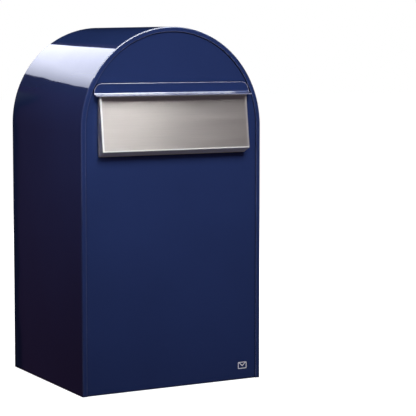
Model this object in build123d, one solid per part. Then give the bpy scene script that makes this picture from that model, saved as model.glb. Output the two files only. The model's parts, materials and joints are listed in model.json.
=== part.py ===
from build123d import *
import math
import os

os.makedirs("parts", exist_ok=True)

# A round-topped free-standing mailbox of folded sheet steel.  Millimetres, +Z up, the front
# faces -Y.  The origin is the centre of the floor's bolt pattern, on the underside.

# ---- driving dimensions -------------------------------------------------------------------
WIDTH = 400.0
DEPTH = 350.0
HEIGHT = 720.0
SHEET = 1.2              # body sheet
FIT_GAP = 0.1            # play between nested sheets
RIM = 10.0               # width of the folded rim seen from the front
HEM = 2 * SHEET          # the rim is folded double
RIM_BEND = 3.0           # outer radius of the rim's fold
RIM_EDGE = 1.0           # rounding of the rim's inner edge
PANEL_FLANGE = 12.0      # depth of the weld flange round a panel
FLOOR_FLANGE = 20.0      # height of the floor pan's turned-up edges

SLOT_WIDTH = 325.0       # takes a C4 envelope sideways
SLOT_HEIGHT = 70.0
SLOT_BOTTOM = 500.0
SLOT_CORNER = 6.0

HOOD_SHEET = 2.0
HOOD_HALF = 172.0
HOOD_TOP = 610.0
HOOD_CORNER = 17.0
HOOD_EDGE = 1.4          # rounding of the flange's top edge
LIP_BEND = 5.5           # inner radius between flange and lip
LIP_START = 593.8        # height where the flange begins to bend
LIP_REACH = 13.0         # from the flange's face to the lip's front edge
LIP_SLOPE = 12.0         # degrees below level

FLAP_HALF = 163.5
FLAP_SHEET = 1.0
FLAP_TOP = (-181.5, 584.4)       # (y, z) of the front plate's top edge
FLAP_BEND = (-195.1, 477.4)      # (y, z) of the bottom bend
FLAP_FOOT = (-174.1, 467.5)      # (y, z) of the return's rear edge
FLAP_EDGE_BEND = 1.5
FLAP_AXIS_Y = -177.4
FLAP_AXIS_Z = 580.0
FLAP_ROD_R = 2.0
RUNNING_PLAY = 0.06
KNUCKLE_R = 3.2
KNUCKLE_HALF = 15.0
KNUCKLE_OUT = 141.5      # centre of an outer knuckle
STRAP_SHEET = 1.9
STRAP_LONG = 16.0
STRAP_DROP = 6.0         # the strap's middle below the axis

EAR_IN = 157.0           # inner face of a bracket ear
EAR_SHEET = 1.5
EAR_R = 3.3
EAR_SLOT_PLAY = 0.3      # sideways play of an ear in its slot
BRACKET_IN = 138.0
BRACKET_HALF = 7.5       # half the height of a bracket's base
BRACKET_STUDS = (-152.0, -143.0, 143.0, 152.0)
CLIP_SHEET = 0.8
FLAP_BUFFER_X = 120.0
FLAP_BUFFER_R = 3.0
STUD_R = 2.0
STUD_LONG = 9.0
NUT_ACROSS = 7.0
NUT_THICK = 3.2

GUIDE_HALF = 160.0       # half-width of the inlet ramp and the guard
GUIDE_BEND = 3.0
RAMP_FOOT = 478.0        # heights where the ramp touches the panel
RAMP_HEAD = 497.0
RAMP_END_Y = -120.0
RAMP_END_Z = 470.0
RAMP_TIP = 10.0          # the ramp's end turns straight down
GUARD_HEAD = 618.0       # heights where the guard touches the panel
GUARD_FOOT = 597.0
GUARD_BEND = (-112.0, 566.0)     # (y, z) where the guard turns down
GUARD_END = (-112.0, 522.0)
GUARD_TIP = (-105.0, 518.0)
GUIDE_STUDS = (-120.0, 0.0, 120.0)
RAMP_STUD_Z = 486.0
GUARD_STUD_Z = 608.0

DOOR_HALF = 163.5
DOOR_BOTTOM = 7.8
DOOR_TOP = 421.0
DOOR_FLANGE = 14.0
DOOR_BEND = 2.0
DOOR_GAP = 2.5
DOOR_BUFFER_X = 160.5
DOOR_BUFFER_ZS = (60.0, 370.0)
DOOR_BUFFER_R = 4.0
BUFFER_SQUEEZE = 0.2     # a buffer stops this far short of the closed door
JAMB_LIP = 12.0          # width of the stop lip behind the door
JAMB_DEPTH = 15.6        # from the panel's outer face to the stop lip's face

HINGE_Y = 171.6
HINGE_Z = 4.5
HINGE_HALF = 150.0
HINGE_R = 3.0
HINGE_PIN_R = 1.5
HINGE_LEAF = 1.2
HINGE_KNUCKLES = 9
HINGE_END_PLAY = 0.5
LEAF_EDGE = HINGE_Y - 3.7        # where a leaf ends beside the other leaf's knuckle
FLOOR_LEAF_Y = 154.0     # the leaves' front edges
DOOR_LEAF_Y = 159.5
RIVET_R = 1.6
RIVET_HEAD_R = 3.2
RIVET_DOME = 1.1
RIVET_TAIL = 0.7
RIVET_XS = (-130.0, -65.0, 0.0, 65.0, 130.0)
FLOOR_RIVET_Y = 160.0
DOOR_RIVET_Y = 163.6

LOCK_Z = 394.5
LOCK_BARREL_R = 9.5
LOCK_PLUG_R = 7.0
LOCK_TUBE_END = 157.0    # y of the housing's inner end
COLLAR_R = 11.5
COLLAR_THICK = 1.3
ROSETTE_R = 14.0
ROSETTE_THICK = 2.2
PLUG_SUNK = 0.4          # the core's face lies this far below the collar's
PLUG_TAIL_R = 5.0
CAM_SEAT_R = 3.5
KEYWAY_WIDE = 8.4
KEYWAY_HIGH = 2.2
KEYWAY_DEEP = 7.0
CAM_REACH = 28.0
CAM_WIDE = 14.0
CAM_HUB_R = 8.0
CAM_SHEET = 2.5
CAM_PLAY = 0.5           # between the cam and the stop lip's back
SCREW_HEAD_R = 5.0
SCREW_HEAD = 2.4
CROSS_LONG = 5.0
CROSS_WIDE = 1.0
CROSS_DEEP = 1.0
LOCK_WASHER_R = 13.0
LOCK_WASHER_THICK = 1.0
LOCK_NUT_ACROSS = 24.0
LOCK_NUT_THICK = 4.0

BOLT_X = 125.0           # half the bolt spacing
BOLT_Y = 100.0
BOLT_R = 4.5

EMBLEM_X = 159.5
EMBLEM_Z = 28.6
EMBLEM_WIDE = 20.0
EMBLEM_HIGH = 14.0
EMBLEM_FILM = 0.25
EMBLEM_LINE = 1.5
EMBLEM_POINT = -2.0      # the fold's lowest point below the middle

# ---- derived planes -----------------------------------------------------------------------
FRONT = -DEPTH / 2
REAR = DEPTH / 2
SPRING = HEIGHT - WIDTH / 2          # where the round top begins
FRONT_FACE = FRONT + HEM             # outer face of the front panel
FRONT_BACK = FRONT_FACE + SHEET
REAR_FACE = REAR - HEM
REAR_BACK = REAR_FACE - SHEET
STOP_FACE = REAR_FACE - JAMB_DEPTH   # face of the door's stop lip
SLOT_MID = SLOT_BOTTOM + SLOT_HEIGHT / 2
HOOD_FACE = FRONT_FACE - HOOD_SHEET
ROSETTE_FACE = REAR_FACE + ROSETTE_THICK
PLUG_FACE = ROSETTE_FACE + COLLAR_THICK - PLUG_SUNK
CAM_BACK = STOP_FACE - SHEET - CAM_PLAY - CAM_SHEET
LOCK_WASHER_FACE = REAR_BACK - LOCK_WASHER_THICK


# ---- helpers ------------------------------------------------------------------------------
def slab(outline, y_front, y_back):
    """Extrude an outline drawn in (x, z) between two y planes."""
    return extrude(Plane.XZ.offset(-y_back) * outline, y_back - y_front)


def across(outline, x_left, x_right):
    """Extrude an outline drawn in (y, z) between two x planes."""
    return extrude(Plane.YZ.offset(x_left) * outline, x_right - x_left)


def block(x, y, z):
    """A box from its (low, high) pairs."""
    size = Box(x[1] - x[0], y[1] - y[0], z[1] - z[0])
    return Pos((x[0] + x[1]) / 2, (y[0] + y[1]) / 2, (z[0] + z[1]) / 2) * size


def rod_x(y, z, x, radius):
    """A cylinder along X, x being (low, high)."""
    return Pos((x[0] + x[1]) / 2, y, z) * Rot(0, 90, 0) * Cylinder(radius, x[1] - x[0])


def rod_y(x, z, y, radius):
    """A cylinder along Y, y being (low, high)."""
    return Pos(x, (y[0] + y[1]) / 2, z) * Rot(90, 0, 0) * Cylinder(radius, y[1] - y[0])


def rod_z(x, y, z, radius):
    """A cylinder along Z, z being (low, high)."""
    return Pos(x, y, (z[0] + z[1]) / 2) * Cylinder(radius, z[1] - z[0])


def arch(inset, bottom=0.0):
    """The body's outline moved inwards: straight sides under a half circle."""
    radius = WIDTH / 2 - inset
    legs = Pos(0, (SPRING + bottom) / 2) * Rectangle(2 * radius, SPRING - bottom)
    return legs + Pos(0, SPRING) * Circle(radius)


def bent_sheet(points, bend, side, half_width, thickness=SHEET):
    """A folded sheet whose section follows (y, z) points, with the same width all along."""
    line = FilletPolyline(*points, radius=bend)
    section = make_face(offset(line, amount=thickness, side=side))
    return across(section, -half_width, half_width)


def hex_nut(x, z, y, across_flats, bore):
    """A hexagon nut along Y."""
    outline = Pos(x, z) * (RegularPolygon(across_flats / 2, 6, major_radius=False) - Circle(bore))
    return slab(outline, y[0], y[1])


def studs(xs, z):
    """Weld studs on the back of the front panel."""
    return [rod_y(x, z, (FRONT_BACK - SHEET / 2, FRONT_BACK + STUD_LONG), STUD_R) for x in xs]


def stud_nuts(xs, z, seat):
    """Nuts on a row of weld studs, against a sheet whose back is at y = seat."""
    return [hex_nut(x, z, (seat, seat + NUT_THICK), NUT_ACROSS, STUD_R + FIT_GAP) for x in xs]


def stud_holes(xs, z):
    """Clearance cylinders for a row of weld studs."""
    return [rod_y(x, z, (FRONT, 0), STUD_R + FIT_GAP) for x in xs]


def cut_all(solid, tools):
    for tool in tools:
        solid = solid - tool
    return solid


def join_all(solids):
    whole = solids[0]
    for solid in solids[1:]:
        whole = whole + solid
    return whole


def both_sides(make_one):
    """A right-hand piece and its mirror image."""
    right = make_one()
    return [mirror(right, about=Plane.YZ), right]


def save(name, *solids):
    """Write one node, which may be a group of separate solids."""
    shape = solids[0] if len(solids) == 1 else Compound(children=list(solids))
    export_step(shape, os.path.join("parts", name + ".step"))


# ---- body ---------------------------------------------------------------------------------
def make_body_shell():
    """One sheet wrapped round sides and top, with a double-folded rim at both ends."""
    shell = slab(arch(0), FRONT, REAR)
    ends = shell.faces().filter_by(Axis.Y)
    shell = fillet([e for face in ends for e in face.edges() if e.center().Z > 1], RIM_BEND)
    shell = shell - slab(arch(SHEET, -1), FRONT + HEM, REAR - HEM)
    shell = shell - slab(arch(RIM, -1), FRONT - 1, REAR + 1)
    mouth = HEIGHT - RIM
    hem_edges = []
    for face in shell.faces().filter_by(Axis.Y):
        if abs(abs(face.center().Y) - REAR) > 0.01:
            continue
        for edge in face.edges():
            at_side = abs(abs(edge.center().X) - (WIDTH / 2 - RIM)) < 0.01
            at_top = abs(edge.center().Z - mouth) < 0.01
            if at_side or at_top:
                hem_edges.append(edge)
    return fillet(hem_edges, RIM_EDGE)


def make_tray():
    """The blank of an end panel: an arched plate with a weld flange turned inwards."""
    tray = slab(arch(SHEET + FIT_GAP), FRONT_FACE, FRONT_FACE + PANEL_FLANGE)
    inside = slab(arch(2 * SHEET + FIT_GAP, -1), FRONT_BACK, FRONT_FACE + PANEL_FLANGE + 1)
    foot_room = block((-WIDTH, WIDTH), (FRONT_BACK, 0), (-1, FLOOR_FLANGE + 2))
    return tray - inside - foot_room


def make_front_panel():
    slot = Pos(0, SLOT_MID) * RectangleRounded(SLOT_WIDTH, SLOT_HEIGHT, SLOT_CORNER)
    panel = make_tray() - slab(slot, FRONT, 0)
    ear_low = FLAP_AXIS_Z - EAR_R - 0.5
    ear_high = FLAP_AXIS_Z + EAR_R + 0.5
    for side in (-1, 1):
        ends = sorted((side * (EAR_IN - EAR_SLOT_PLAY), side * (EAR_IN + EAR_SHEET + EAR_SLOT_PLAY)))
        panel = panel - block(ends, (FRONT, 0), (ear_low, ear_high))
    every_stud = studs(BRACKET_STUDS, FLAP_AXIS_Z)
    every_stud += studs(GUIDE_STUDS, RAMP_STUD_Z)
    every_stud += studs(GUIDE_STUDS, GUARD_STUD_Z)
    return join_all([panel] + every_stud)


def make_hood():
    """A strip bent forward into a lip that shelters the flap's hinge."""
    lip_back = HOOD_FACE - LIP_BEND
    fall = math.tan(math.radians(LIP_SLOPE))
    turn = LIP_BEND + HOOD_SHEET
    underside = LIP_START - turn / math.cos(math.radians(LIP_SLOPE))
    corner = (FRONT_FACE, underside + (FRONT_FACE - lip_back) * fall)
    lip_y = HOOD_FACE - LIP_REACH
    tip = (lip_y, underside + (lip_y - lip_back) * fall)
    hood = bent_sheet([(FRONT_FACE, HOOD_TOP), corner, tip], turn, Side.RIGHT, HOOD_HALF, HOOD_SHEET)
    top = hood.faces().sort_by(Axis.Z)[-1]
    hood = fillet(top.edges().filter_by(Axis.X).sort_by(Axis.Y)[0], HOOD_EDGE)
    front = hood.faces().sort_by(Axis.Y)[0]
    hood = fillet(front.edges().filter_by(Axis.X).sort_by(Axis.Z)[-1], HOOD_SHEET / 2)
    square = Rectangle(2 * HOOD_HALF, 2 * HOOD_CORNER)
    round_end = RectangleRounded(2 * HOOD_HALF, 2 * HOOD_CORNER, HOOD_CORNER - 0.001)
    corners = (square - round_end) & (Pos(0, HOOD_CORNER / 2) * Rectangle(WIDTH, HOOD_CORNER))
    return hood - slab(Pos(0, HOOD_TOP - HOOD_CORNER) * corners, 2 * FRONT, 0)


def make_rear_panel():
    """An end panel with a doorway: its edge turns inwards and ends in a stop lip."""
    panel = mirror(make_tray(), about=Plane.XZ)
    half = DOOR_HALF + DOOR_GAP
    top = DOOR_TOP + DOOR_GAP
    floor_top = SHEET + FIT_GAP
    panel = panel - block((-half, half), (0, REAR), (-1, top))
    jamb = block((-half - SHEET, half + SHEET), (STOP_FACE - SHEET, REAR_BACK), (floor_top, top + SHEET))
    jamb = jamb - block((-half, half), (STOP_FACE, REAR), (0, top))
    jamb = jamb - block((-half + JAMB_LIP, half - JAMB_LIP), (0, REAR), (0, top - JAMB_LIP))
    return panel + jamb


def make_floor_pan():
    """A flat floor with turned-up edges, bolt holes and the hinge leaf's rivet holes."""
    half = WIDTH / 2 - SHEET - FIT_GAP
    front = FRONT_BACK + FIT_GAP
    rear = REAR_BACK - FIT_GAP
    pan = block((-half, half), (front, rear), (0, FLOOR_FLANGE))
    pan = pan - block((-half + SHEET, half - SHEET), (front + SHEET, REAR), (SHEET, FLOOR_FLANGE + 1))
    bolts = [rod_z(x, y, (-1, 5), BOLT_R) for x in (-BOLT_X, BOLT_X) for y in (-BOLT_Y, BOLT_Y)]
    return cut_all(pan, bolts + rivet_holes(FLOOR_RIVET_Y))


# ---- flap ---------------------------------------------------------------------------------
def make_flap():
    """A wedge-shaped cover: slanted plate, bottom return and two cheeks, folded as one."""
    wedge_top = (FLAP_FOOT[0], FLAP_AXIS_Z - 0.5)
    wedge = across(Polygon(FLAP_TOP, FLAP_BEND, FLAP_FOOT, wedge_top, align=None), -FLAP_HALF, FLAP_HALF)
    folds = []
    for edge in wedge.edges():
        centre = edge.center()
        along_bottom = abs(centre.X) < 1 and abs(centre.Y - FLAP_BEND[0]) < 0.1
        beside_plate = abs(centre.X) > 1 and edge.length > 105 and centre.Y < FLAP_FOOT[0] - 1
        beside_return = abs(centre.X) > 1 and edge.length < 40 and centre.Z < FLAP_BEND[1]
        if along_bottom or beside_plate or beside_return:
            folds.append(edge)
    wedge = fillet(folds, FLAP_EDGE_BEND)
    back = wedge.faces().filter_by(Axis.Y).sort_by(Axis.Y)[-1]
    top = wedge.faces().sort_by(Axis.Z)[-1]
    return offset(wedge, amount=-FLAP_SHEET, openings=[back, top])


def flap_plate_frame():
    """A plane at the hinge axis whose x runs out of the plate and y runs up along it."""
    rise = Vector(0, FLAP_TOP[0] - FLAP_BEND[0], FLAP_TOP[1] - FLAP_BEND[1]).normalized()
    out = rise.cross(Vector(-1, 0, 0))
    if out.Y > 0:
        out = out * -1
    return Plane((0, FLAP_AXIS_Y, FLAP_AXIS_Z), x_dir=out, z_dir=out.cross(rise))


def make_flap_knuckles():
    """Three hinge straps welded to the back of the flap's plate."""
    frame = flap_plate_frame()
    top_in_frame = frame.to_local_coords(Vector(0, FLAP_TOP[0], FLAP_TOP[1]))
    plate_back = top_in_frame.X - FLAP_SHEET - 0.02
    strap = Pos(plate_back - STRAP_SHEET / 2, -STRAP_DROP) * Rectangle(STRAP_SHEET, STRAP_LONG)
    section = Circle(KNUCKLE_R) + strap - Circle(FLAP_ROD_R + RUNNING_PLAY)
    knuckles = []
    for middle in (-KNUCKLE_OUT, 0.0, KNUCKLE_OUT):
        knuckle = extrude(frame * section, KNUCKLE_HALF, both=True)
        knuckles.append(Pos(middle, 0, 0) * knuckle)
    return knuckles


def make_flap_bracket():
    """The right-hand hinge bracket: a base behind the panel, an ear through it."""
    base_z = (FLAP_AXIS_Z - BRACKET_HALF, FLAP_AXIS_Z + BRACKET_HALF)
    base = block((BRACKET_IN, EAR_IN + EAR_SHEET), (FRONT_BACK, FRONT_BACK + EAR_SHEET), base_z)
    arm_mid = (FLAP_AXIS_Y + FRONT_BACK + EAR_SHEET) / 2
    arm_long = FRONT_BACK + EAR_SHEET - FLAP_AXIS_Y
    ear = Pos(FLAP_AXIS_Y, FLAP_AXIS_Z) * Circle(EAR_R)
    ear = ear + Pos(arm_mid, FLAP_AXIS_Z) * Rectangle(arm_long, 2 * EAR_R)
    ear = ear - Pos(FLAP_AXIS_Y, FLAP_AXIS_Z) * Circle(FLAP_ROD_R + RUNNING_PLAY)
    bracket = base + across(ear, EAR_IN, EAR_IN + EAR_SHEET)
    return cut_all(bracket, stud_holes(BRACKET_STUDS, FLAP_AXIS_Z))


def make_flap_rod():
    half = FLAP_HALF - FLAP_SHEET - CLIP_SHEET
    rod = rod_x(FLAP_AXIS_Y, FLAP_AXIS_Z, (-half, half), FLAP_ROD_R)
    return chamfer(rod.edges(), 0.4)


def make_rod_clip():
    """A push-on washer just outside the right-hand ear."""
    start = EAR_IN + EAR_SHEET + 0.2
    clip = rod_x(FLAP_AXIS_Y, FLAP_AXIS_Z, (start, start + CLIP_SHEET), EAR_R - 0.2)
    return clip - rod_x(FLAP_AXIS_Y, FLAP_AXIS_Z, (start - 1, start + 2), FLAP_ROD_R + 0.02)


def make_flap_buffer():
    """A stick-on rubber dot under the flap's return."""
    centre_z = FLAP_FOOT[1] + FLAP_BUFFER_R
    return rod_y(FLAP_BUFFER_X, centre_z, (FLAP_FOOT[0] + BUFFER_SQUEEZE, FRONT_FACE), FLAP_BUFFER_R)


# ---- inlet --------------------------------------------------------------------------------
def make_inlet_ramp():
    """A slide behind the slot's lower edge."""
    end = (RAMP_END_Y, RAMP_END_Z)
    tip = (RAMP_END_Y, RAMP_END_Z - RAMP_TIP)
    section = [(FRONT_BACK, RAMP_FOOT), (FRONT_BACK, RAMP_HEAD), end, tip]
    ramp = bent_sheet(section, GUIDE_BEND, Side.RIGHT, GUIDE_HALF)
    return cut_all(ramp, stud_holes(GUIDE_STUDS, RAMP_STUD_Z))


def make_inlet_guard():
    """A baffle behind the slot that stops a hand from reaching down into the box."""
    section = [(FRONT_BACK, GUARD_HEAD), (FRONT_BACK, GUARD_FOOT), GUARD_BEND, GUARD_END, GUARD_TIP]
    guard = bent_sheet(section, GUIDE_BEND, Side.LEFT, GUIDE_HALF)
    return cut_all(guard, stud_holes(GUIDE_STUDS, GUARD_STUD_Z))


# ---- door ---------------------------------------------------------------------------------
def make_door():
    """A shallow tray with all four edges turned inwards."""
    z = (DOOR_BOTTOM, DOOR_TOP)
    inner = REAR_FACE - DOOR_FLANGE
    door = block((-DOOR_HALF, DOOR_HALF), (inner, REAR_FACE), z)
    door = fillet(door.faces().sort_by(Axis.Y)[-1].edges(), DOOR_BEND)
    hollow_half = DOOR_HALF - SHEET
    hollow_z = (DOOR_BOTTOM + SHEET, DOOR_TOP - SHEET)
    hollow = block((-hollow_half, hollow_half), (inner - 1, REAR_BACK), hollow_z)
    hollow = fillet(hollow.faces().sort_by(Axis.Y)[-1].edges(), DOOR_BEND - SHEET)
    door = door - hollow - rod_y(0, LOCK_Z, (0, REAR), LOCK_BARREL_R + FIT_GAP)
    return cut_all(door, rivet_holes(DOOR_RIVET_Y))


def rivet_holes(y):
    return [rod_z(x, y, (-1, 12), RIVET_R + 0.05) for x in RIVET_XS]


def knuckle_span(index):
    """The (low, high) x of one of the piano hinge's knuckles."""
    pitch = 2 * HINGE_HALF / HINGE_KNUCKLES
    low = -HINGE_HALF + index * pitch
    return low + HINGE_END_PLAY / 2, low + pitch - HINGE_END_PLAY / 2


def make_hinge_leaf(first, leaf_z, leaf_y, rivet_y):
    """One leaf of the piano hinge with every second knuckle, starting at the given one."""
    leaf = block((-HINGE_HALF, HINGE_HALF), (leaf_y, LEAF_EDGE), leaf_z)
    for index in range(first, HINGE_KNUCKLES, 2):
        span = knuckle_span(index)
        leaf = leaf + block(span, (LEAF_EDGE, HINGE_Y), leaf_z)
        leaf = leaf + rod_x(HINGE_Y, HINGE_Z, span, HINGE_R)
    leaf = leaf - rod_x(HINGE_Y, HINGE_Z, (-WIDTH, WIDTH), HINGE_PIN_R + RUNNING_PLAY)
    return cut_all(leaf, rivet_holes(rivet_y))


def make_rivet(x, y, z_low, z_high, lower_head):
    """A blind rivet through two sheets, domed on top and flat below."""
    rivet = rod_z(x, y, (z_low, z_high), RIVET_R)
    head = rod_z(x, y, (z_high, z_high + RIVET_DOME), RIVET_HEAD_R)
    rivet = rivet + fillet(head.edges().sort_by(Axis.Z)[-1], 0.7 * RIVET_DOME)
    if lower_head:
        rivet = rivet + rod_z(x, y, (z_low - RIVET_TAIL, z_low), 0.8 * RIVET_HEAD_R)
    return rivet


def make_door_buffer(z):
    """A rubber dot on the right-hand stop lip."""
    end = REAR_FACE - DOOR_FLANGE - BUFFER_SQUEEZE
    return rod_y(DOOR_BUFFER_X, z, (STOP_FACE, end), DOOR_BUFFER_R)


# ---- lock ---------------------------------------------------------------------------------
def make_lock_rosette():
    rosette = rod_y(0, LOCK_Z, (REAR_FACE, ROSETTE_FACE), ROSETTE_R)
    rosette = fillet(rosette.edges().sort_by(Axis.Y)[-1], 0.6 * ROSETTE_THICK)
    return rosette - rod_y(0, LOCK_Z, (0, 2 * REAR), LOCK_BARREL_R + 0.05)


def make_lock_housing():
    """A tube through the door with a collar in front."""
    collar = rod_y(0, LOCK_Z, (ROSETTE_FACE, ROSETTE_FACE + COLLAR_THICK), COLLAR_R)
    collar = fillet(collar.edges().sort_by(Axis.Y)[-1], COLLAR_THICK / 2)
    housing = collar + rod_y(0, LOCK_Z, (LOCK_TUBE_END, ROSETTE_FACE + COLLAR_THICK / 2), LOCK_BARREL_R)
    return housing - rod_y(0, LOCK_Z, (0, 2 * REAR), LOCK_PLUG_R + RUNNING_PLAY)


def make_lock_plug():
    """The turning core, with a keyway in front and a tail that carries the cam."""
    plug = rod_y(0, LOCK_Z, (LOCK_TUBE_END, PLUG_FACE), LOCK_PLUG_R)
    plug = chamfer(plug.edges().sort_by(Axis.Y)[-1], 0.4)
    plug = plug + rod_y(0, LOCK_Z, (CAM_BACK + CAM_SHEET, LOCK_TUBE_END), PLUG_TAIL_R)
    plug = plug + rod_y(0, LOCK_Z, (CAM_BACK, LOCK_TUBE_END), CAM_SEAT_R)
    keyway_z = (LOCK_Z - KEYWAY_HIGH / 2, LOCK_Z + KEYWAY_HIGH / 2)
    keyway = block((-KEYWAY_WIDE / 2, KEYWAY_WIDE / 2), (PLUG_FACE - KEYWAY_DEEP, REAR), keyway_z)
    return plug - keyway - rod_y(0, LOCK_Z, (0, LOCK_TUBE_END + 1), STUD_R + 0.05)


def make_lock_cam():
    """At rest the cam lies sideways, clear of the stop lip.  Turned up, it locks."""
    outline = Circle(CAM_HUB_R) + Pos(-CAM_REACH / 2, 0) * Rectangle(CAM_REACH, CAM_WIDE)
    outline = fillet(outline.vertices().group_by(Axis.X)[0], 3.0) - Circle(CAM_SEAT_R + 0.05)
    return slab(Pos(0, LOCK_Z) * outline, CAM_BACK, CAM_BACK + CAM_SHEET)


def make_cam_screw():
    head = rod_y(0, LOCK_Z, (CAM_BACK - SCREW_HEAD, CAM_BACK), SCREW_HEAD_R)
    head = fillet(head.edges().sort_by(Axis.Y)[0], SCREW_HEAD / 2)
    screw = head + rod_y(0, LOCK_Z, (CAM_BACK, LOCK_TUBE_END), STUD_R)
    cross_y = (CAM_BACK - SCREW_HEAD - 1, CAM_BACK - SCREW_HEAD + CROSS_DEEP)
    long_arm = CROSS_LONG / 2
    short_arm = CROSS_WIDE / 2
    cross = block((-long_arm, long_arm), cross_y, (LOCK_Z - short_arm, LOCK_Z + short_arm))
    cross = cross + block((-short_arm, short_arm), cross_y, (LOCK_Z - long_arm, LOCK_Z + long_arm))
    return screw - cross


def make_ring(y, inner, outer):
    return rod_y(0, LOCK_Z, y, outer) - rod_y(0, LOCK_Z, (0, 2 * REAR), inner)


# ---- emblem -------------------------------------------------------------------------------
def make_emblem():
    """A plain envelope pictogram: a frame and the two lines of its flap."""
    frame = RectangleRounded(EMBLEM_WIDE, EMBLEM_HIGH, 1.6)
    hole = RectangleRounded(EMBLEM_WIDE - 2 * EMBLEM_LINE, EMBLEM_HIGH - 2 * EMBLEM_LINE, 0.6)
    half = EMBLEM_WIDE / 2 - EMBLEM_LINE / 2
    top = EMBLEM_HIGH / 2 - EMBLEM_LINE / 2
    fold = Polygon((-half, top), (0, EMBLEM_POINT), (half, top), align=None)
    fold = fold - Pos(0, 1.4 * EMBLEM_LINE) * fold
    picture = frame - hole + fold
    return slab(Pos(EMBLEM_X, EMBLEM_Z) * picture, FRONT_FACE - EMBLEM_FILM, FRONT_FACE)


# ---- write the nodes ----------------------------------------------------------------------
save("body_shell", make_body_shell())
save("front_panel", make_front_panel())
save("hood", make_hood())
save("rear_panel", make_rear_panel())
save("floor_pan", make_floor_pan())
save("envelope_emblem", make_emblem())

left_bracket, right_bracket = both_sides(make_flap_bracket)
save("flap_bracket_left", left_bracket)
save("flap_bracket_right", right_bracket)
save("bracket_nuts", *stud_nuts(BRACKET_STUDS, FLAP_AXIS_Z, FRONT_BACK + EAR_SHEET))
save("flap_hinge_rod", make_flap_rod())
save("flap_rod_clips", *both_sides(make_rod_clip))
save("flap_buffers", *both_sides(make_flap_buffer))
save("flap", make_flap())
save("flap_knuckles", *make_flap_knuckles())

save("inlet_ramp", make_inlet_ramp())
save("ramp_nuts", *stud_nuts(GUIDE_STUDS, RAMP_STUD_Z, FRONT_BACK + SHEET))
save("inlet_guard", make_inlet_guard())
save("guard_nuts", *stud_nuts(GUIDE_STUDS, GUARD_STUD_Z, FRONT_BACK + SHEET))

floor_leaf_z = (SHEET, SHEET + HINGE_LEAF)
door_leaf_z = (DOOR_BOTTOM - HINGE_LEAF, DOOR_BOTTOM)
save("hinge_floor_leaf", make_hinge_leaf(0, floor_leaf_z, FLOOR_LEAF_Y, FLOOR_RIVET_Y))
save("hinge_door_leaf", make_hinge_leaf(1, door_leaf_z, DOOR_LEAF_Y, DOOR_RIVET_Y))
save("hinge_pin", rod_x(HINGE_Y, HINGE_Z, (-HINGE_HALF, HINGE_HALF), HINGE_PIN_R))
floor_rivets = [make_rivet(x, FLOOR_RIVET_Y, 0.0, floor_leaf_z[1], False) for x in RIVET_XS]
door_rivets = [make_rivet(x, DOOR_RIVET_Y, door_leaf_z[0], DOOR_BOTTOM + SHEET, True) for x in RIVET_XS]
save("floor_leaf_rivets", *floor_rivets)
save("door_leaf_rivets", *door_rivets)

save("door", make_door())
buffers = [buffer for z in DOOR_BUFFER_ZS for buffer in both_sides(lambda: make_door_buffer(z))]
save("door_buffers", *buffers)

save("lock_rosette", make_lock_rosette())
save("lock_housing", make_lock_housing())
save("lock_washer", make_ring((LOCK_WASHER_FACE, REAR_BACK), LOCK_BARREL_R + FIT_GAP, LOCK_WASHER_R))
lock_nut_y = (LOCK_WASHER_FACE - LOCK_NUT_THICK, LOCK_WASHER_FACE)
save("lock_nut", hex_nut(0, LOCK_Z, lock_nut_y, LOCK_NUT_ACROSS, LOCK_BARREL_R + FIT_GAP))
save("lock_plug", make_lock_plug())
save("lock_cam", make_lock_cam())
save("cam_screw", make_cam_screw())
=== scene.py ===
import json
import math

import bpy
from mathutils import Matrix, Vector


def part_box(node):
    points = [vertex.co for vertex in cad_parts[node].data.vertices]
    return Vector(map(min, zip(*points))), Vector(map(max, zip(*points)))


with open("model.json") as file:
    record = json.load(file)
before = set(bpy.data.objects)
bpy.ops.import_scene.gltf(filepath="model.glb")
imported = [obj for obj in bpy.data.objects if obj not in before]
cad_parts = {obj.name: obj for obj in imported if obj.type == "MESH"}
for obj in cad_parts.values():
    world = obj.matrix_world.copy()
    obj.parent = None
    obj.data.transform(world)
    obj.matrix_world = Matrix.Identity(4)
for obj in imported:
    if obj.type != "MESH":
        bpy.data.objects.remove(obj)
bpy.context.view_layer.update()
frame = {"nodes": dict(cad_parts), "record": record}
nodes = frame["nodes"]
scene = bpy.context.scene
MM = 0.001
EDGE_RADIUS = 2.5 * MM                # the painted edge highlight reaches this close to an edge
SEAM_REACH = 6 * MM                   # a seam's shade reaches this far
NODE_SAMPLES = 8                      # rays that look for an edge or a seam
FLOOR_SIZE = 30.0
FLOOR_DROP = 0.5 * MM                 # the floor lies this far below the box

# ---- places worked out from the frame -----------------------------------------------------
shell_low, shell_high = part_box("body_shell")
HALF_WIDTH = shell_high.x
HALF_DEPTH = (shell_high.y - shell_low.y) / 2
MIDDLE_Y = (shell_high.y + shell_low.y) / 2
flap_low, flap_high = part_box("flap")
FLAP_LEFT = flap_low.x
FLAP_RIGHT = flap_high.x
FLAP_BEND_Z = flap_low.z + 10 * MM    # top of the bend along the foot


# ---- camera -------------------------------------------------------------------------------
def make_camera():
    """Low three-quarter view from the front left, with a long lens."""
    azimuth = math.radians(-28.95)
    pitch = math.radians(4.87)
    distance = 3.360
    sideways = 0.153
    height = 0.690
    across = Vector((math.cos(azimuth), math.sin(azimuth), 0))
    back = Vector((math.sin(azimuth), -math.cos(azimuth), 0))
    data = bpy.data.cameras.new("camera")
    camera = bpy.data.objects.new("camera", data)
    scene.collection.objects.link(camera)
    camera.location = back * distance + across * sideways + Vector((0, 0, height))
    camera.rotation_euler = (math.pi / 2 - pitch, 0, azimuth)
    data.sensor_width = 36.0
    data.lens = 140.4
    data.shift_y = -0.0673
    data.clip_end = 100.0
    scene.camera = camera


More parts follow.
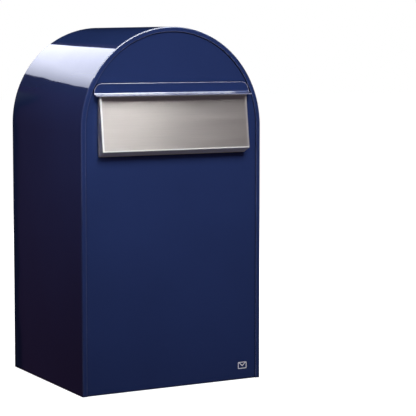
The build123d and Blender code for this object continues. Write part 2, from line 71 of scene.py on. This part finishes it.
# ---- light and surroundings ---------------------------------------------------------------
def area_light(name, place, target, size, watts, colour=(1.0, 1.0, 1.0), spread=180):
    """A softbox that lights surfaces but doesn't show in their gloss."""
    data = bpy.data.lights.new(name, "AREA")
    data.shape = "RECTANGLE"
    data.size, data.size_y = size
    data.energy = watts
    data.color = colour
    data.spread = math.radians(spread)
    light = bpy.data.objects.new(name, data)
    scene.collection.objects.link(light)
    light.location = place
    aim = Vector(target) - Vector(place)
    light.rotation_euler = aim.to_track_quat("-Z", "Y").to_euler()
    light.visible_camera = False
    light.visible_glossy = False


def glow_card(name, corners, colour, levels, along="X", span=(0.0, 1.0)):
    """A lit panel seen in gloss only.  Its strength runs between two levels along one axis."""
    mesh = bpy.data.meshes.new(name)
    mesh.from_pydata(corners, [], [(0, 1, 2, 3)])
    card = bpy.data.objects.new(name, mesh)
    scene.collection.objects.link(card)
    card.visible_camera = False
    card.visible_shadow = False
    card.visible_diffuse = False
    mat = bpy.data.materials.new(name)
    mat.use_nodes = True
    tree = mat.node_tree
    tree.nodes.clear()
    place = tree.nodes.new("ShaderNodeTexCoord")
    split = tree.nodes.new("ShaderNodeSeparateXYZ")
    tree.links.new(place.outputs["Object"], split.inputs["Vector"])
    level = remap(tree, split.outputs[along], levels[0], levels[1], span)
    glow = tree.nodes.new("ShaderNodeEmission")
    glow.inputs["Color"].default_value = (*colour, 1)
    tree.links.new(level, glow.inputs["Strength"])
    output = tree.nodes.new("ShaderNodeOutputMaterial")
    tree.links.new(glow.outputs[0], output.inputs["Surface"])
    mesh.materials.append(mat)


def wall_card(name, x, y, z, colour, levels, along="X", span=(0.0, 1.0)):
    """An upright glow card across the scene, between its (low, high) x and z."""
    corners = [(x[0], y, z[0]), (x[1], y, z[0]), (x[1], y, z[1]), (x[0], y, z[1])]
    glow_card(name, corners, colour, levels, along, span)


def even(level):
    """The levels of a card that is equally bright all over."""
    return level, level


def make_lights():
    """Softboxes light the surfaces, and cards make what the gloss and the steel reflect."""
    area_light("key_softbox", (-0.05, -1.75, 2.15), (0, -0.17, 0.66), (1.4, 0.9), 5.35, spread=45)
    area_light("left_softbox", (-0.9, -0.6, 0.8), (-0.2, -0.1, 0.55), (0.3, 0.3), 0.26, spread=50)
    area_light("back_softbox", (0.9, 2.0, 1.8), (0, 0, 0.36), (1.6, 1.6), 50, (0.95, 0.97, 1.0))
    area_light("top_softbox", (0.1, 0.0, 2.4), (0, 0, 0.5), (1.2, 1.2), 10, (0.95, 0.97, 1.0))
    violet = (0.052, 0.026, 0.055)
    wall_card("violet_wall", (-5.0, -0.5), 3.4, (-1.5, 1.5), violet, even(1.0))
    # the band on the left of the round top
    back = 3.0
    foot = 1.63
    glow_card("band_card", [(-2.2, back, foot), (0.39, back, foot), (-0.1, back, 3.0), (-2.2, back, 3.0)],
              (0.81, 0.84, 1.0), (2.7, 4.75), "Z", (foot, 1.88))
    # the light that falls off across the flap, and the line along the hood's lip
    white = (0.93, 0.96, 1.0)
    overhead = 1.8
    front, middle, rear = -0.85, -0.43, -0.2
    edge_front, edge_middle, edge_rear = 0.685, 0.618, 0.601
    left, right, strip_right = -1.5, 2.6, 0.84
    glow_card("overhead_card", [(left, front, overhead), (edge_front, front, overhead),
                                (edge_rear, rear, overhead), (left, rear, overhead)],
              white, even(31.5))
    glow_card("overhead_spill", [(edge_front, front, overhead), (right, front, overhead),
                                 (right, middle, overhead), (edge_middle, middle, overhead)],
              white, even(6.8))
    glow_card("overhead_strip", [(edge_middle, middle, overhead), (strip_right, middle, overhead),
                                 (strip_right, rear, overhead), (edge_rear, rear, overhead)],
              white, even(28.0))
    half, near, far = 1.6, 0.45, 1.4
    glow_card("rear_overhead", [(-half, near, overhead), (half, near, overhead),
                                (half, far, overhead), (-half, far, overhead)],
              white, even(9.0))
    # what the sides and the back reflect
    wall_card("rear_fill", (-0.55, 1.2), 1.0, (-0.8, 0.78), white, (0.0, 0.3), "X", (-0.55, -0.36))
    wall_card("dark_wall", (0.45, 4.0), 3.3, (-0.5, 2.3), (0.3, 0.5, 1.0), even(0.01))
    left, right = -2.0, 2.5
    near, near_z = -0.3, -0.06
    far, far_z = -4.0, -1.07
    glow_card("floor_bounce", [(left, far, far_z), (right, far, far_z),
                               (right, near, near_z), (left, near, near_z)],
              (1.0, 0.98, 0.96), even(0.42))
    left, near, far, top = -3.0, -0.6, -3.0, 2.4
    glow_card("left_card", [(left, far, 0.0), (left, near, 0.0), (left, near, top), (left, far, top)],
              (0.8, 0.72, 1.0), even(0.8))


def make_world():
    """White to the eye, dim violet to everything else."""
    world = bpy.data.worlds.new("studio")
    scene.world = world
    world.use_nodes = True
    tree = world.node_tree
    tree.nodes.clear()
    output = tree.nodes.new("ShaderNodeOutputWorld")
    path = tree.nodes.new("ShaderNodeLightPath")
    seen = tree.nodes.new("ShaderNodeBackground")
    seen.inputs["Color"].default_value = (1, 1, 1, 1)
    lit = tree.nodes.new("ShaderNodeBackground")
    lit.inputs["Color"].default_value = (0.04, 0.03, 0.05, 1)
    lit.inputs["Strength"].default_value = 1.0
    mix = tree.nodes.new("ShaderNodeMixShader")
    tree.links.new(path.outputs["Is Camera Ray"], mix.inputs["Fac"])
    tree.links.new(lit.outputs[0], mix.inputs[1])
    tree.links.new(seen.outputs[0], mix.inputs[2])
    tree.links.new(mix.outputs[0], output.inputs["Surface"])


def make_floor():
    """A pale floor with a painted glow: none under the box, weaker near it so its shadows show, and
    rising to white further out.
    """
    bpy.ops.mesh.primitive_plane_add(size=FLOOR_SIZE, location=(0, 0, -FLOOR_DROP))
    floor = bpy.context.object
    floor.name = "floor"
    floor.visible_glossy = False
    floor.visible_diffuse = False
    mat, tree, bsdf = new_material("pale_floor", (0.5, 0.5, 0.5), 0.9)
    place = tree.nodes.new("ShaderNodeTexCoord")
    length = tree.nodes.new("ShaderNodeVectorMath")
    length.operation = "LENGTH"
    tree.links.new(place.outputs["Object"], length.inputs[0])
    near, far = 0.3, 1.2
    near_glow, far_glow = 0.72, 1.0
    glow = remap(tree, length.outputs["Value"], near_glow, far_glow, (near, far))
    split = tree.nodes.new("ShaderNodeSeparateXYZ")
    tree.links.new(place.outputs["Object"], split.inputs["Vector"])
    inner, outer = 20 * MM, 10 * MM   # the dark part ends this far inside the box's outline
    off_y = math_node(tree, "SUBTRACT", split.outputs["Y"], MIDDLE_Y)
    beside = remap(tree, math_node(tree, "ABSOLUTE", split.outputs["X"], 0.0), 0, 1,
                   (HALF_WIDTH - inner, HALF_WIDTH - outer))
    beyond = remap(tree, math_node(tree, "ABSOLUTE", off_y, 0.0), 0, 1,
                   (HALF_DEPTH - inner, HALF_DEPTH - outer))
    glow = math_node(tree, "MULTIPLY", glow, math_node(tree, "MAXIMUM", beside, beyond))
    bsdf.inputs["Emission Color"].default_value = (1, 1, 1, 1)
    tree.links.new(glow, bsdf.inputs["Emission Strength"])
    floor.data.materials.append(mat)


# ---- material helpers ---------------------------------------------------------------------
def new_material(name, colour, roughness, metallic=0.0):
    """A Principled material and its node tree."""
    mat = bpy.data.materials.new(name)
    mat.use_nodes = True
    bsdf = mat.node_tree.nodes["Principled BSDF"]
    bsdf.inputs["Base Color"].default_value = (*colour, 1)
    bsdf.inputs["Roughness"].default_value = roughness
    bsdf.inputs["Metallic"].default_value = metallic
    return mat, mat.node_tree, bsdf


def stretched(tree, scale):
    """Object coordinates in metres, multiplied by a scale along each axis."""
    place = tree.nodes.new("ShaderNodeTexCoord")
    mapping = tree.nodes.new("ShaderNodeMapping")
    mapping.inputs["Scale"].default_value = scale
    tree.links.new(place.outputs["Object"], mapping.inputs["Vector"])
    return mapping.outputs["Vector"]


def noise(tree, scale, detail=2.0, roughness=0.5):
    """Noise whose grain is about 1 / scale metres along each axis."""
    node = tree.nodes.new("ShaderNodeTexNoise")
    node.inputs["Scale"].default_value = 1.0
    node.inputs["Detail"].default_value = detail
    node.inputs["Roughness"].default_value = roughness
    tree.links.new(stretched(tree, scale), node.inputs["Vector"])
    return node.outputs["Fac"]


def remap(tree, value, low, high, source=(0.3, 0.7)):
    """Map a source range onto two values and stop at both ends; the default suits noise."""
    node = tree.nodes.new("ShaderNodeMapRange")
    node.inputs["From Min"].default_value = source[0]
    node.inputs["From Max"].default_value = source[1]
    node.inputs["To Min"].default_value = low
    node.inputs["To Max"].default_value = high
    tree.links.new(value, node.inputs["Value"])
    return node.outputs["Result"]


def set_colour(tree, socket, value):
    """Put a plain colour or another node's colour into a socket."""
    if isinstance(value, tuple):
        socket.default_value = (*value, 1)
    else:
        tree.links.new(value, socket)


def blend_colours(tree, factor, first, second):
    """The first colour where the factor is 0, the second where it is 1."""
    node = tree.nodes.new("ShaderNodeMix")
    node.data_type = "RGBA"
    set_colour(tree, node.inputs["A"], first)
    set_colour(tree, node.inputs["B"], second)
    tree.links.new(factor, node.inputs["Factor"])
    return node.outputs["Result"]


def add_colours(tree, first, second):
    """The sum of two colours."""
    node = tree.nodes.new("ShaderNodeMix")
    node.data_type = "RGBA"
    node.blend_type = "ADD"
    node.inputs["Factor"].default_value = 1.0
    tree.links.new(first, node.inputs["A"])
    tree.links.new(second, node.inputs["B"])
    return node.outputs["Result"]


def bump(tree, height, distance, normal=None):
    """Relief of a given depth in metres, on top of another normal if there is one."""
    node = tree.nodes.new("ShaderNodeBump")
    node.inputs["Strength"].default_value = 1.0
    node.inputs["Distance"].default_value = distance
    tree.links.new(height, node.inputs["Height"])
    if normal is not None:
        tree.links.new(normal, node.inputs["Normal"])
    return node.outputs["Normal"]


def math_node(tree, operation, first, second):
    """One maths step; either side is a socket or a number."""
    node = tree.nodes.new("ShaderNodeMath")
    node.operation = operation
    for index, value in enumerate((first, second)):
        if isinstance(value, (int, float)):
            node.inputs[index].default_value = value
        else:
            tree.links.new(value, node.inputs[index])
    return node.outputs["Value"]


def near_edges(tree):
    """1 where the surface turns sharply within the edge radius, 0 on the flat."""
    rounded = tree.nodes.new("ShaderNodeBevel")
    rounded.samples = NODE_SAMPLES
    rounded.inputs["Radius"].default_value = EDGE_RADIUS
    surface = tree.nodes.new("ShaderNodeNewGeometry")
    dot = tree.nodes.new("ShaderNodeVectorMath")
    dot.operation = "DOT_PRODUCT"
    tree.links.new(rounded.outputs["Normal"], dot.inputs[0])
    tree.links.new(surface.outputs["Normal"], dot.inputs[1])
    flat, turned = 0.998, 0.94        # how far the two normals agree
    return remap(tree, dot.outputs["Value"], 0, 1, (flat, turned))


def openness(tree):
    """0 in a closed corner or seam, 1 on open surface."""
    node = tree.nodes.new("ShaderNodeAmbientOcclusion")
    node.samples = NODE_SAMPLES
    node.inputs["Distance"].default_value = SEAM_REACH
    closed, clear = 0.45, 0.9
    return remap(tree, node.outputs["AO"], 0, 1, (closed, clear))


# ---- materials ----------------------------------------------------------------------------
def powder_coat(name, edge_highlight):
    """Gloss navy powder coat: orange peel under a clear shine, on sheet that waves a little, with a
    painted highlight along its edges and painted shade in its seams.
    """
    mat, tree, bsdf = new_material(name, (0.0195, 0.0363, 0.128), 0.4)
    deep, pale = (0.0185, 0.0345, 0.122), (0.0205, 0.038, 0.134)
    painted_seam_shade = (0.001, 0.001, 0.004)
    tone = remap(tree, noise(tree, (6, 6, 6), 3), 0, 1)
    colour = blend_colours(tree, tone, deep, pale)
    # painted highlight: a pale colour added along every edge
    painted_edge_highlight = blend_colours(tree, near_edges(tree), (0, 0, 0), edge_highlight)
    colour = add_colours(tree, colour, painted_edge_highlight)
    # painted shade: the colour darkens to near black in closed corners and seams
    colour = blend_colours(tree, openness(tree), painted_seam_shade, colour)
    tree.links.new(colour, bsdf.inputs["Base Color"])
    tree.links.new(remap(tree, noise(tree, (40, 40, 40), 4), 0.34, 0.46), bsdf.inputs["Roughness"])
    bsdf.inputs["Specular IOR Level"].default_value = 0.0
    bsdf.inputs["Coat Weight"].default_value = 1.0
    bsdf.inputs["Coat Roughness"].default_value = 0.04
    bsdf.inputs["Coat IOR"].default_value = 1.5
    waves = bump(tree, noise(tree, (7, 7, 7), 1), 0.6 * MM)
    peel = bump(tree, noise(tree, (420, 420, 420), 2), 0.004 * MM, waves)
    tree.links.new(peel, bsdf.inputs["Coat Normal"])
    tree.links.new(peel, bsdf.inputs["Normal"])
    return mat


def painted_bend_highlights(tree):
    """Painted highlight mask: 1 along the left bend and the foot of the flap's face, 0.3 along the right
    bend, where the face looks forward.
    """
    place = tree.nodes.new("ShaderNodeTexCoord")
    split = tree.nodes.new("ShaderNodeSeparateXYZ")
    tree.links.new(place.outputs["Object"], split.inputs["Vector"])
    surface = tree.nodes.new("ShaderNodeNewGeometry")
    facing = tree.nodes.new("ShaderNodeSeparateXYZ")
    tree.links.new(surface.outputs["Normal"], facing.inputs["Vector"])
    left = remap(tree, split.outputs["X"], 0, 1, (FLAP_LEFT + 4.2 * MM, FLAP_LEFT + 3.0 * MM))
    right = remap(tree, split.outputs["X"], 0, 0.3, (FLAP_RIGHT - 5.2 * MM, FLAP_RIGHT - 4.0 * MM))
    foot = remap(tree, split.outputs["Z"], 0, 1, (FLAP_BEND_Z + 3.0 * MM, FLAP_BEND_Z + 1.8 * MM))
    sides = math_node(tree, "MAXIMUM", left, right)
    lines = math_node(tree, "MAXIMUM", sides, foot)
    front = remap(tree, facing.outputs["Y"], 0, 1, (-0.2, -0.55))
    return math_node(tree, "MULTIPLY", lines, front)


def brushed_stainless():
    """Stainless sheet brushed from side to side, with painted highlights along the flap's bends."""
    mat, tree, bsdf = new_material("brushed_stainless", (0.66, 0.60, 0.555), 0.4, 1.0)
    lines = noise(tree, (9, 2200, 2200), 4, 0.65)
    broad = noise(tree, (3, 90, 90), 2)
    dull, bright = (0.625, 0.57, 0.52), (0.705, 0.64, 0.585)
    # painted highlight: a pale, less metallic colour along the flap's bends
    bend_highlight = (0.28, 0.32, 0.36)
    bend_highlight_mask = painted_bend_highlights(tree)
    sheet = blend_colours(tree, remap(tree, lines, 0, 1), dull, bright)
    colour = add_colours(tree, sheet, blend_colours(tree, bend_highlight_mask, (0, 0, 0), bend_highlight))
    tree.links.new(colour, bsdf.inputs["Base Color"])
    bend_highlight_diffuse = math_node(tree, "MULTIPLY", bend_highlight_mask, 0.85)
    tree.links.new(math_node(tree, "SUBTRACT", 1.0, bend_highlight_diffuse), bsdf.inputs["Metallic"])
    tree.links.new(remap(tree, broad, 0.28, 0.31), bsdf.inputs["Roughness"])
    bsdf.inputs["Anisotropic"].default_value = 1.0
    bsdf.inputs["Anisotropic Rotation"].default_value = 0.25
    along = tree.nodes.new("ShaderNodeCombineXYZ")
    along.inputs["X"].default_value = 1.0
    tree.links.new(along.outputs["Vector"], bsdf.inputs["Tangent"])
    tree.links.new(bump(tree, lines, 0.01 * MM), bsdf.inputs["Normal"])
    return mat


def stainless_hardware():
    """Drawn rod and rolled hinge strip."""
    mat, tree, bsdf = new_material("stainless_hardware", (0.55, 0.55, 0.54), 0.28, 1.0)
    lines = noise(tree, (30, 900, 900), 3)
    tree.links.new(remap(tree, lines, 0.2, 0.38), bsdf.inputs["Roughness"])
    tree.links.new(bump(tree, lines, 0.01 * MM), bsdf.inputs["Normal"])
    return mat


def galvanised():
    """Hot-dip zinc with its large spangle."""
    mat, tree, bsdf = new_material("galvanised_sheet", (0.5, 0.52, 0.54), 0.45, 1.0)
    cells = tree.nodes.new("ShaderNodeTexVoronoi")
    cells.inputs["Scale"].default_value = 1.0
    tree.links.new(stretched(tree, (110, 110, 110)), cells.inputs["Vector"])
    split = tree.nodes.new("ShaderNodeSeparateColor")
    tree.links.new(cells.outputs["Color"], split.inputs["Color"])
    spangle = split.outputs["Red"]
    dark, light = (0.40, 0.42, 0.44), (0.58, 0.60, 0.62)
    tree.links.new(blend_colours(tree, spangle, dark, light), bsdf.inputs["Base Color"])
    tree.links.new(remap(tree, spangle, 0.34, 0.56, (0, 1)), bsdf.inputs["Roughness"])
    tree.links.new(bump(tree, noise(tree, (500, 500, 500), 3), 0.02 * MM), bsdf.inputs["Normal"])
    return mat


def zinc_fastener():
    """Bright zinc plating, a little uneven."""
    mat, tree, bsdf = new_material("zinc_fastener", (0.6, 0.61, 0.62), 0.32, 1.0)
    patches = noise(tree, (300, 300, 300), 4)
    dark, light = (0.52, 0.53, 0.55), (0.68, 0.68, 0.66)
    plating = blend_colours(tree, remap(tree, patches, 0, 1), dark, light)
    tree.links.new(plating, bsdf.inputs["Base Color"])
    tree.links.new(remap(tree, patches, 0.24, 0.42), bsdf.inputs["Roughness"])
    tree.links.new(bump(tree, noise(tree, (1500, 1500, 1500), 2), 0.02 * MM), bsdf.inputs["Normal"])
    return mat


def chromed_lock():
    """Satin chrome with fine wipe marks, and painted shade darkening its joints and recesses."""
    painted_joint_shade, chrome = (0.01, 0.01, 0.015), (0.85, 0.84, 0.85)
    mat, tree, bsdf = new_material("chromed_lock", chrome, 0.3, 1.0)
    wipes = noise(tree, (1200, 1200, 140), 4)
    tree.links.new(remap(tree, wipes, 0.24, 0.36), bsdf.inputs["Roughness"])
    tree.links.new(bump(tree, wipes, 0.004 * MM), bsdf.inputs["Normal"])
    # painted shade: near black where the surface is closed in
    tree.links.new(blend_colours(tree, openness(tree), painted_joint_shade, chrome), bsdf.inputs["Base Color"])
    return mat


def black_rubber():
    """Moulded black rubber with a fine grain."""
    mat, tree, bsdf = new_material("black_rubber", (0.025, 0.025, 0.026), 0.75)
    grain = noise(tree, (1800, 1800, 1800), 3)
    tree.links.new(remap(tree, grain, 0.65, 0.85), bsdf.inputs["Roughness"])
    tree.links.new(bump(tree, grain, 0.03 * MM), bsdf.inputs["Normal"])
    return mat


def white_film():
    """Thin white vinyl."""
    mat, tree, bsdf = new_material("white_film", (0.9, 0.9, 0.92), 0.4)
    grain = noise(tree, (900, 900, 900), 2)
    shade, light = (0.87, 0.885, 0.93), (0.93, 0.945, 0.985)
    tree.links.new(blend_colours(tree, remap(tree, grain, 0, 1), shade, light), bsdf.inputs["Base Color"])
    tree.links.new(bump(tree, grain, 0.01 * MM), bsdf.inputs["Normal"])
    return mat


def give_materials():
    """Every CAD node gets the material of its slot; hood, rear panel and door get copies with a stronger
    or fainter painted edge highlight.
    """
    made = {
        "blue_powder_coat": powder_coat("blue_powder_coat", (0.14, 0.135, 0.19)),
        "brushed_stainless": brushed_stainless(),
        "stainless_hardware": stainless_hardware(),
        "galvanised_sheet": galvanised(),
        "zinc_fastener": zinc_fastener(),
        "chromed_lock": chromed_lock(),
        "black_rubber": black_rubber(),
        "white_film": white_film(),
    }
    for part in frame["record"]["subparts"]:
        node = nodes[part["node"]]
        node.data.materials.clear()
        node.data.materials.append(made[part["material_slot"]])
    # copies of the powder coat: the painted edge highlight is stronger on the hood, fainter on the rear
    # panel and door
    strong_edge_highlight_coat = powder_coat("blue_powder_coat_strong_painted_highlight", (0.36, 0.34, 0.37))
    faint_edge_highlight_coat = powder_coat("blue_powder_coat_faint_painted_highlight", (0.09, 0.09, 0.11))
    for name, paint in {"hood": strong_edge_highlight_coat, "rear_panel": faint_edge_highlight_coat, "door": faint_edge_highlight_coat}.items():
        nodes[name].data.materials[0] = paint


# ---- make it ------------------------------------------------------------------------------
scene.view_settings.view_transform = "Standard"
make_camera()
make_world()
make_lights()
make_floor()
give_materials()
